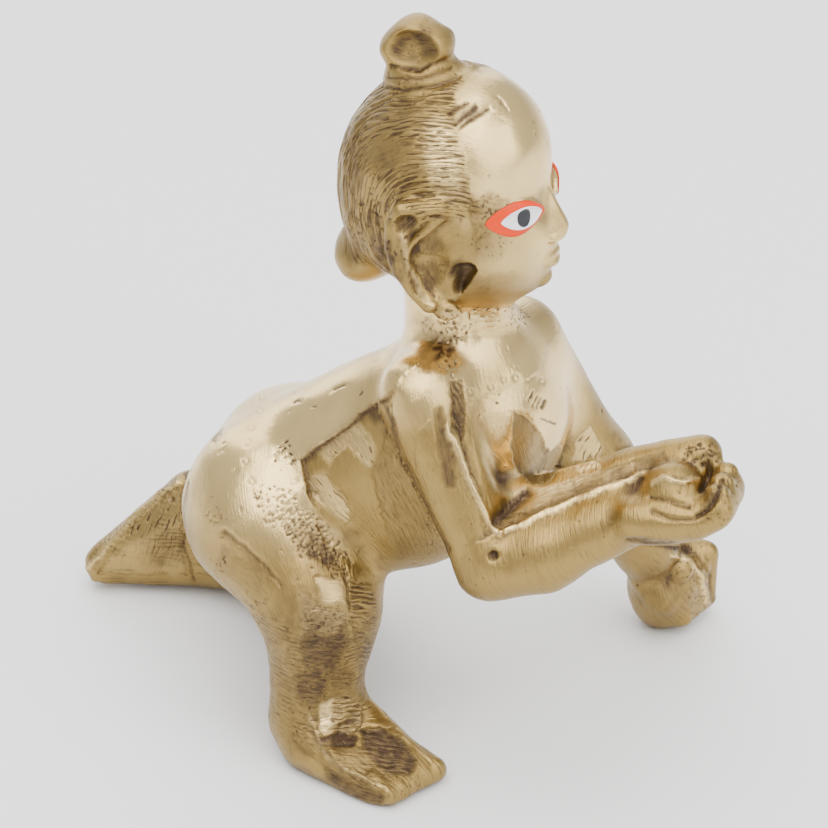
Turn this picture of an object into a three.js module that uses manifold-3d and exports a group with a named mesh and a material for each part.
// A crawling infant figure, solid-cast in brass. It rests on its left palm, its left knee and
// foot, and its right sole, looks straight ahead, and holds out a ball in its cupped right hand.
//
// Millimetres. +X is the way the figure faces, +Y its left, +Z up.
// The origin is on the ground, in the middle of the figure's outline seen from above.

import * as THREE from "three";
import Module from "manifold-3d";
import { mergeVertices } from "three/addons/utils/BufferGeometryUtils.js";

// Driving dimensions
const HEIGHT = 90; // from the ground to the top of the topknot
const BALL_DIAMETER = 7; // the ball in the right hand
const GRID_CELLS = 100; // cells of the skin's grid over the height
const FACETS = 9700; // triangles that the skin is thinned to

// Pose and proportions are shares of the height, given in hundredths of it
const share = (hundredths) => (hundredths / 100) * HEIGHT;
const hundredths = (size) => (size / HEIGHT) * 100;
const at = (x, y, z) => new THREE.Vector3(share(x), share(y), share(z));

// Clay: each shape is a function from a point to its signed distance, negative inside

// A limb with a ball at each end, tapering from one to the other
function limb(start, end, startRadius, endRadius) {
  const along = end.clone().sub(start);
  const [ra, rb] = [share(startRadius), share(endRadius)];
  const length2 = along.lengthSq();
  const slope = ra - rb;
  const cone = length2 - slope * slope;
  return (x, y, z) => {
    const px = x - start.x;
    const py = y - start.y;
    const pz = z - start.z;
    const t = px * along.x + py * along.y + pz * along.z;
    const beyond = t - length2;
    const away = [px * length2 - along.x * t, py * length2 - along.y * t, pz * length2 - along.z * t];
    const out2 = away[0] ** 2 + away[1] ** 2 + away[2] ** 2;
    const turn = Math.sign(slope) * slope * slope * out2;
    if (Math.sign(beyond) * cone * beyond * beyond * length2 > turn) {
      return Math.sqrt(out2 + beyond * beyond * length2) / length2 - rb;
    }
    if (Math.sign(t) * cone * t * t * length2 < turn) {
      return Math.sqrt(out2 + t * t * length2) / length2 - ra;
    }
    return (Math.sqrt((out2 * cone) / length2) + t * slope) / length2 - ra;
  };
}

// An egg of three radii, turned by degrees about X, then Y, then Z
function egg(centre, radii, [turnX, turnY, turnZ] = [0, 0, 0]) {
  const turn = new THREE.Matrix4().makeRotationFromEuler(
    new THREE.Euler(...[turnX, turnY, turnZ].map(THREE.MathUtils.degToRad), "ZYX"),
  ).elements;
  const [rx, ry, rz] = radii.map(share);
  return (x, y, z) => {
    const px = x - centre.x;
    const py = y - centre.y;
    const pz = z - centre.z;
    const qx = (px * turn[0] + py * turn[1] + pz * turn[2]) / rx;
    const qy = (px * turn[4] + py * turn[5] + pz * turn[6]) / ry;
    const qz = (px * turn[8] + py * turn[9] + pz * turn[10]) / rz;
    const near = Math.hypot(qx, qy, qz);
    return (near * (near - 1)) / Math.max(Math.hypot(qx / rx, qy / ry, qz / rz), 1e-9);
  };
}

const ball = (centre, radius) => egg(centre, [radius, radius, radius]);

// A ring of round section around an axis
function ring(centre, axis, radius, thickness) {
  const up = axis.clone().normalize();
  return (x, y, z) => {
    const p = new THREE.Vector3(x, y, z).sub(centre);
    const height = p.dot(up);
    const out = Math.sqrt(Math.max(p.lengthSq() - height * height, 0));
    return Math.hypot(out - share(radius), height) - share(thickness);
  };
}

// All that lies beyond a plane, as a file would take it away, within reach of a point on the plane
function beyond(point, facing, reach) {
  const out = facing.clone().normalize();
  const limit = ball(point, reach);
  return (x, y, z) => {
    const height = (x - point.x) * out.x + (y - point.y) * out.y + (z - point.z) * out.z;
    return Math.max(-height, limit(x, y, z));
  };
}

// The modelling: shapes are pressed on or carved away in turn, each softened by its own blend
const steps = [];
const work = (sign, blend, shapes) => {
  for (const shape of shapes) steps.push({ shape, sign, blend: share(blend) });
};
const press = (blend, ...shapes) => work(1, blend, shapes);
const carve = (blend, ...shapes) => work(-1, blend, shapes);

function figure(x, y, z) {
  let d = HEIGHT;
  for (const { shape, blend, sign } of steps) {
    const other = sign * shape(x, y, z);
    const near = Math.max(blend - Math.abs(d - other), 0) / blend;
    const soften = (near * near * blend) / 4;
    d = sign > 0 ? Math.min(d, other) - soften : Math.max(d, other) + soften;
  }
  return d;
}

const SIDES = { right: -1, left: 1 };

function modelTorso() {
  press(
    6,
    limb(at(-17, 0, 30.5), at(7, 0, 46), 10.6, 11.2),
    egg(at(-1, 0, 34), [13, 11, 12.6], [0, -28, 0]),
    egg(at(9.4, 0, 45.4), [9.2, 11.5, 12], [0, 14, 0]),
    egg(at(13, 5.5, 41), [5.6, 7, 8.4], [0, 14, 0]),
  );
  press(4, limb(at(6.4, -9, 53), at(11, 8.6, 51.6), 6, 5.8));
  for (const side of Object.values(SIDES)) {
    press(4, egg(at(-19.6, side * 5.4, 28.6), [9.6, 7.6, 10.2]));
  }
  carve(1.6, limb(at(-31.4, 0, 36), at(-31.4, 0, 19), 1.6, 1.6));
}

function modelRightLeg() {
  const [hip, knee, ankle] = [at(-16.6, -9, 28.6), at(-7.4, -13.4, 20.4), at(-7.4, -15.6, 7.6)];
  press(6, limb(hip, knee, 9.6, 7.2));
  press(4, limb(knee, ankle, 7, 6.1));
  press(
    2,
    limb(at(-8.6, -16.6, 4), at(5, -21, 2.2), 4.9, 3.8),
    limb(at(-6, -15, 6), at(7.6, -18.8, 2), 4.6, 2.4),
    limb(at(-6, -19.4, 3.4), at(4.4, -24.2, 1.8), 4.6, 2.8),
  );
  const toes = 5;
  for (let i = 0; i < toes; i += 1) {
    const across = i / (toes - 1);
    const root = at(7.4 - 3.2 * across, -17.6 - 6.6 * across, 2.3);
    const tip = at(10.4 - 3.6 * across, -18.2 - 7.6 * across, 1.7);
    press(0.5, limb(root, tip, 1.9 - 0.5 * across, 1.6 - 0.4 * across));
  }
  // the top of the foot is filed flat, which leaves a ridge above its steep outer wall
  carve(0.9, beyond(at(3, -20.6, 5.3), new THREE.Vector3(0.16, -0.4, 0.9), 5.6));
}

function modelLeftLeg() {
  const [hip, knee, ankle] = [at(-17, 9, 28.6), at(-18.4, 13.4, 6.7), at(-34, 16.6, 6.2)];
  press(6, limb(hip, knee, 9.6, 6.8));
  press(3, limb(knee, ankle, 6.4, 5.4));
  press(
    2,
    limb(at(-37.8, 16, 12.6), at(-50.2, 10.4, 3.8), 5.2, 2.6),
    limb(at(-35.6, 16.4, 5.4), at(-49.6, 10.8, 2.6), 5.2, 2.2),
  );
}

function modelRightArm() {
  const [shoulder, elbow, wrist] = [at(5.8, -12.4, 54), at(17, -16.4, 34), at(32, -11.4, 40.8)];
  const bulge = elbow.clone().lerp(wrist, 0.4).add(at(0, 0, -0.8));
  press(2.4, limb(shoulder, elbow, 5.2, 4.4));
  press(1.5, limb(elbow, bulge, 4.6, 5.1), limb(bulge, wrist, 5.1, 4));
  press(3, limb(at(18, -10, 37), at(31, -6.4, 43), 4.8, 3.8));
  // cupped hand: the palm, its far side, the thumb on the near side, and the fingers curling up
  press(1.5, egg(at(38.4, -9.6, 42.6), [6.8, 5.8, 3.8], [0, -12, 12]));
  press(1, limb(at(32, -5.4, 44.2), at(40.4, -4, 47.6), 3.4, 3));
  press(1, limb(at(35, -13.4, 42.6), at(42, -13, 43.8), 3, 2.3));
  const fingers = 3;
  for (let i = 0; i < fingers; i += 1) {
    const y = -12.4 + 2.8 * i;
    const knuckle = at(45 - 0.2 * i, y + 0.4, 45.2);
    press(
      1.2,
      limb(at(42, y, 43), knuckle, 2.2, 2),
      limb(knuckle, at(44.9 - 0.2 * i, y + 0.7, 47), 2, 1.5),
    );
  }
  const seat = at(38.4, -9.6, 41.4);
  const ballRadius = BALL_DIAMETER / 2;
  press(0.6, ball(seat.clone().setZ(seat.z + ballRadius), hundredths(ballRadius)));
}

function modelLeftArm() {
  const [shoulder, elbow, wrist] = [at(11.3, 10.6, 51.4), at(20, 17.4, 30.5), at(25.4, 25.2, 14)];
  press(3, limb(shoulder, elbow, 5.4, 5.2), limb(elbow, wrist, 5.2, 4.8));
  // a fist on its knuckles: the palm, four rolled fingers in front and the thumb inside
  press(1.5, egg(at(27.2, 28.4, 6.2), [5.2, 5.2, 6.8]));
  const fingers = 4;
  for (let i = 0; i < fingers; i += 1) {
    const across = i / (fingers - 1);
    const place = (x, z) => at(x + 1.6 * across, 27 + 5.9 * across, z);
    const [root, knuckle, tip] = [place(27, 10), place(30.2, 7 + 2.6 * across), place(30.6, 2.4)];
    press(0.5, limb(root, knuckle, 1.9, 1.8), limb(knuckle, tip, 1.8, 1.6));
  }
  press(1, limb(at(25.4, 25, 9.4), at(28.4, 24.2, 6.4), 2.4, 2.2));
}

// The head's own frame: +X to the face, origin at the middle of the skull
const headCentre = at(4.8, 0, 80);
const head = (x, y, z) => at(x, y, z).add(headCentre);

function modelHead() {
  press(2.5, limb(at(7.4, 0, 54), at(6.4, 0, 66), 7.4, 6.8));
  press(3, egg(head(0, 0, 1), [13.8, 12, 12.2], [0, -30, 0]), egg(head(3.6, 0, -7), [10.6, 10.4, 9.2]));
  press(3, egg(head(-3.4, 0, -5.6), [9.6, 10.2, 9]));
  press(4, ball(head(9.6, 0, -11.6), 3.8));
  for (const side of Object.values(SIDES)) {
    press(3.6, ball(head(6.4, side * 5, -8), 5.6));
  }
  // nose and its wings, eyes, lips
  press(1, limb(head(12.6, 0, -1), head(14.8, 0, -6), 1.1, 1.6));
  for (const side of Object.values(SIDES)) {
    press(0.8, ball(head(13.4, side * 1.6, -6.6), 1.2));
    press(0.8, egg(head(10.6, side * 5.6, -2), [1.6, 3.8, 2], [0, 0, side * 38]));
  }
  press(0.6, egg(head(12.6, 0, -9.2), [1.3, 3, 0.9]), egg(head(12.3, 0, -10.6), [1.3, 2.4, 0.9]));
}

// Ears: a flap whose rim stands off the head at its back edge, with a dish that opens to the
// cheek, an inner ridge and a drilled hole
function modelEars() {
  for (const side of Object.values(SIDES)) {
    press(1.4, egg(head(2.6, side * 10.4, -6), [5.2, 2.2, 7.4]));
    const rim = [
      head(3.4, side * 12.2, 0.4),
      head(-0.6, side * 13.2, 0),
      head(-1.2, side * 13.8, -4.4),
      head(0.2, side * 13.6, -8.5),
      head(2, side * 13, -11.4),
      head(4.2, side * 12, -12.8),
    ];
    rim.slice(1).forEach((point, i) => press(0.5, limb(rim[i], point, 1.3, 1.3)));
    carve(0.5, egg(head(3.2, side * 14.2, -5), [2.6, 2.7, 4.4], [0, 12, 0]));
    press(0.5, egg(head(0.4, side * 13.4, -2), [1.9, 1.2, 2.4], [0, 12, 0]));
    carve(0.3, egg(head(0.7, side * 14.5, -2.2), [1, 1.1, 1.5], [0, 12, 0]));
    carve(0.4, ball(head(6.2, side * 12, -8.4), 1.7));
  }
}

function modelHair() {
  press(1.8, egg(at(-5.6, 0, 66.8), [4.2, 5.6, 4.2]));
  press(0.6, limb(at(1.6, 0, 90), at(1.2, 0, 95), 3, 3));
  press(0.6, ring(at(1.6, 0, 92.6), new THREE.Vector3(-0.2, 0, 1), 3.4, 1.5));
  press(0.6, egg(at(1.2, 0, 96.2), [4, 3.9, 2.8], [0, -14, 0]));
  press(1.2, egg(at(-1.4, 0, 95.6), [2.4, 3.6, 2.2]), egg(at(0.8, 0, 98), [2.6, 3.4, 2]));
  press(1.2, egg(at(4, 0, 96.6), [1.9, 3.3, 2]));
  for (const side of Object.values(SIDES)) carve(0.8, egg(at(1.6, side * 4.2, 96.8), [3, 2.2, 2]));
}

modelTorso();
modelRightLeg();
modelLeftLeg();
modelHead();
modelRightArm();
modelLeftArm();
modelEars();
modelHair();

// Moves a point onto the surface, by no more than half a cell
function settle(point, field, cell) {
  const step = cell / 50;
  for (let pass = 0; pass < 2; pass += 1) {
    const d = field(point.x, point.y, point.z);
    const slope = new THREE.Vector3(
      field(point.x + step, point.y, point.z) - d,
      field(point.x, point.y + step, point.z) - d,
      field(point.x, point.y, point.z + step) - d,
    ).divideScalar(step);
    const move = THREE.MathUtils.clamp(d / Math.max(slope.lengthSq(), 0.2), -cell / 4, cell / 4);
    point.addScaledVector(slope, -move);
  }
}

// The field at every node of a grid. Far from the surface one value stands for a whole block.
function sample(field, low, cell, [nx, ny, nz]) {
  const valueAt = (i, j, k) => field(low.x + i * cell, low.y + j * cell, low.z + k * cell);
  const values = new Float64Array(nx * ny * nz);
  const block = 4;
  const half = (block - 1) / 2;
  const clear = block * cell * 2;
  for (let k = 0; k < nz; k += block) {
    for (let j = 0; j < ny; j += block) {
      for (let i = 0; i < nx; i += block) {
        const centre = valueAt(i + half, j + half, k + half);
        for (let c = k; c < Math.min(k + block, nz); c += 1) {
          for (let b = j; b < Math.min(j + block, ny); b += 1) {
            for (let a = i; a < Math.min(i + block, nx); a += 1) {
              values[(c * ny + b) * nx + a] = Math.abs(centre) > clear ? centre : valueAt(a, b, c);
            }
          }
        }
      }
    }
  }
  return values;
}

// The skin: one point in each grid cell that the surface crosses, set on the surface, and one
// quad, of two triangles, for each grid edge that it crosses
function skin(field, low, high, cell) {
  const count = high.clone().sub(low).divideScalar(cell).ceil();
  const [nx, ny, nz] = [count.x + 1, count.y + 1, count.z + 1];
  const index = (i, j, k) => (k * ny + j) * nx + i;
  const values = sample(field, low, cell, [nx, ny, nz]);
  const corners = [];
  for (const z of [0, 1]) {
    for (const y of [0, 1]) {
      for (const x of [0, 1]) corners.push(new THREE.Vector3(x, y, z));
    }
  }
  const edges = [];
  for (let a = 0; a < 8; a += 1) {
    for (const bit of [1, 2, 4]) {
      if (!(a & bit)) edges.push([a, a | bit]);
    }
  }
  const points = [];
  const pointOf = new Map(); // cell and inside corner to the number of the surface point
  for (let k = 0; k < nz - 1; k += 1) {
    for (let j = 0; j < ny - 1; j += 1) {
      for (let i = 0; i < nx - 1; i += 1) {
        const at8 = corners.map((c) => index(i + c.x, j + c.y, k + c.z));
        const inside = at8.map((n) => values[n] < 0);
        if (inside.every(Boolean) || !inside.some(Boolean)) continue;
        // corners joined along the cell's edges share one surface point
        const group = corners.map((_, c) => c);
        for (let pass = 0; pass < 4; pass += 1) {
          for (const [a, b] of edges) {
            if (inside[a] && inside[b]) group[a] = group[b] = Math.min(group[a], group[b]);
          }
        }
        for (const g of new Set(group.filter((_, c) => inside[c]))) {
          const sum = new THREE.Vector3();
          let crossings = 0;
          for (const [a, b] of edges) {
            if (inside[a] === inside[b] || group[inside[a] ? a : b] !== g) continue;
            const t = values[at8[a]] / (values[at8[a]] - values[at8[b]]);
            sum.add(corners[a].clone().lerp(corners[b], t));
            crossings += 1;
          }
          if (!crossings) continue;
          corners.forEach((_, c) => {
            if (inside[c] && group[c] === g) pointOf.set(`${index(i, j, k)}:${at8[c]}`, points.length);
          });
          const place = sum.divideScalar(crossings).add(new THREE.Vector3(i, j, k));
          points.push(place.multiplyScalar(cell).add(low));
        }
      }
    }
  }
  points.forEach((point) => settle(point, field, cell));
  const triangles = [];
  const axes = [
    [1, 0, 0],
    [0, 1, 0],
    [0, 0, 1],
  ];
  const turns = [
    [0, 0],
    [1, 0],
    [1, 1],
    [0, 1],
  ];
  for (let k = 1; k < nz - 1; k += 1) {
    for (let j = 1; j < ny - 1; j += 1) {
      for (let i = 1; i < nx - 1; i += 1) {
        axes.forEach(([x, y, z], axis) => {
          const [from, to] = [index(i, j, k), index(i + x, j + y, k + z)];
          if (values[from] < 0 === values[to] < 0) return;
          const [u, v] = [axes[(axis + 1) % 3], axes[(axis + 2) % 3]];
          const corner = values[from] < 0 ? from : to;
          const around = turns.map(([a, b]) => {
            const cellAt = index(i - a * u[0] - b * v[0], j - a * u[1] - b * v[1], k - a * u[2] - b * v[2]);
            return pointOf.get(`${cellAt}:${corner}`);
          });
          if (values[to] < 0) around.reverse();
          const [a, b, c, d] = around;
          if (points[a].distanceTo(points[c]) < points[b].distanceTo(points[d])) {
            triangles.push([a, b, c], [a, c, d]);
          } else {
            triangles.push([a, b, d], [b, c, d]);
          }
        });
      }
    }
  }
  return { points, triangles };
}

// Thins the skin: edges are folded up in turns, first those whose loss moves the surface least,
// as the squared distances to the planes of the faces around them tell
function thin({ points, triangles }, goal, cell) {
  const facesAt = points.map(() => new Set());
  const planes = points.map(() => new Float64Array(10)); // sums of the planes' products
  const cross = ([a, b, c], place) => place(b).clone().sub(place(a)).cross(place(c).clone().sub(place(a)));
  const here = (p) => points[p];
  for (const face of triangles) {
    const normal = cross(face, here);
    const area = normal.length();
    normal.divideScalar(area);
    const plane = [normal.x, normal.y, normal.z, -normal.dot(points[face[0]])];
    for (const corner of face) {
      facesAt[corner].add(face);
      let n = 0;
      for (let i = 0; i < 4; i += 1) {
        for (let j = i; j < 4; j += 1) {
          planes[corner][n] += plane[i] * plane[j] * area;
          n += 1;
        }
      }
    }
  }
  const loss = (a, b, p) => {
    const q = planes[a].map((value, n) => value + planes[b][n]);
    const squares = q[0] * p.x * p.x + q[4] * p.y * p.y + q[7] * p.z * p.z;
    const products = q[1] * p.x * p.y + q[2] * p.x * p.z + q[5] * p.y * p.z;
    return squares + 2 * (products + q[3] * p.x + q[6] * p.y + q[8] * p.z) + q[9];
  };
  const neighboursOf = (p) => new Set([...facesAt[p]].flat().filter((corner) => corner !== p));
  const mayFold = (a, b, place) => {
    const shared = [...neighboursOf(a)].filter((p) => neighboursOf(b).has(p));
    if (shared.length !== 2 || shared.some((p) => facesAt[p].size < 4)) return false;
    const moved = (p) => (p === a || p === b ? place : points[p]);
    return [...facesAt[a], ...facesAt[b]].every((face) => {
      if (face.includes(a) && face.includes(b)) return true;
      const [before, after] = [cross(face, here), cross(face, moved)];
      const longest = Math.max(...face.map((p, i) => moved(p).distanceToSquared(moved(face[(i + 1) % 3]))));
      return before.dot(after) > 0.4 * before.length() * after.length() && after.length() > 0.12 * longest;
    });
  };
  let count = triangles.length;
  for (let turn = 0; turn < 60 && count > goal; turn += 1) {
    const folds = [];
    facesAt.forEach((faces, a) => {
      if (!faces.size) return;
      for (const b of neighboursOf(a)) {
        if (b < a) continue;
        const middle = points[a].clone().lerp(points[b], 0.5);
        const length2 = points[a].distanceToSquared(points[b]);
        for (const place of [points[a].clone(), points[b].clone(), middle]) {
          folds.push({ a, b, place, cost: loss(a, b, place) + length2 * cell * cell * 2e-3 });
        }
      }
    });
    folds.sort((one, other) => one.cost - other.cost);
    const touched = new Set();
    for (const { a, b, place } of folds.slice(0, folds.length / 4)) {
      if (count <= goal) break;
      if (touched.has(a) || touched.has(b) || !mayFold(a, b, place)) continue;
      for (const p of [...neighboursOf(a), ...neighboursOf(b)]) touched.add(p);
      for (const face of [...facesAt[b]]) {
        if (face.includes(a)) {
          face.forEach((corner) => facesAt[corner].delete(face));
          count -= 1;
        } else {
          face[face.indexOf(b)] = a;
          facesAt[a].add(face);
        }
      }
      facesAt[b].clear();
      points[a] = place;
      planes[b].forEach((value, n) => {
        planes[a][n] += value;
      });
    }
  }
  return { points, triangles: [...new Set(facesAt.flatMap((faces) => [...faces]))] };
}

const wasm = await Module();
wasm.setup();

function solid(geometry) {
  const bare = geometry.clone();
  bare.deleteAttribute("normal");
  bare.deleteAttribute("uv");
  const merged = mergeVertices(bare, 1e-4);
  return new wasm.Manifold(
    new wasm.Mesh({
      numProp: 3,
      vertProperties: new Float32Array(merged.attributes.position.array),
      triVerts: new Uint32Array(merged.index.array),
    }),
  );
}

function geometryOf(manifold) {
  const mesh = manifold.getMesh();
  const geometry = new THREE.BufferGeometry();
  geometry.setAttribute("position", new THREE.BufferAttribute(new Float32Array(mesh.vertProperties), 3));
  geometry.setIndex(Array.from(mesh.triVerts));
  return geometry;
}

const cell = HEIGHT / GRID_CELLS;
const fine = skin(figure, at(-56, -32, -8), at(54, 42, 104), cell);
const { points, triangles } = thin(fine, FACETS, cell);
const clay = new THREE.BufferGeometry().setFromPoints(points).setIndex(triangles.flat());

// The underside is filed flat where the figure rests
const reach = share(150);
const ground = new THREE.BoxGeometry(reach, reach, reach).translate(0, 0, -reach / 2);
const casting = geometryOf(solid(clay).subtract(solid(ground)));

const brass = new THREE.MeshStandardMaterial({ color: 0xc9a961, roughness: 0.3, metalness: 1 });
const mesh = new THREE.Mesh(casting, brass);
mesh.name = "krishna_figure";

const group = new THREE.Group();
group.add(mesh);
casting.computeBoundingBox();
const middle = casting.boundingBox.getCenter(new THREE.Vector3());
mesh.position.set(-middle.x, -middle.y, 0);

export default group;
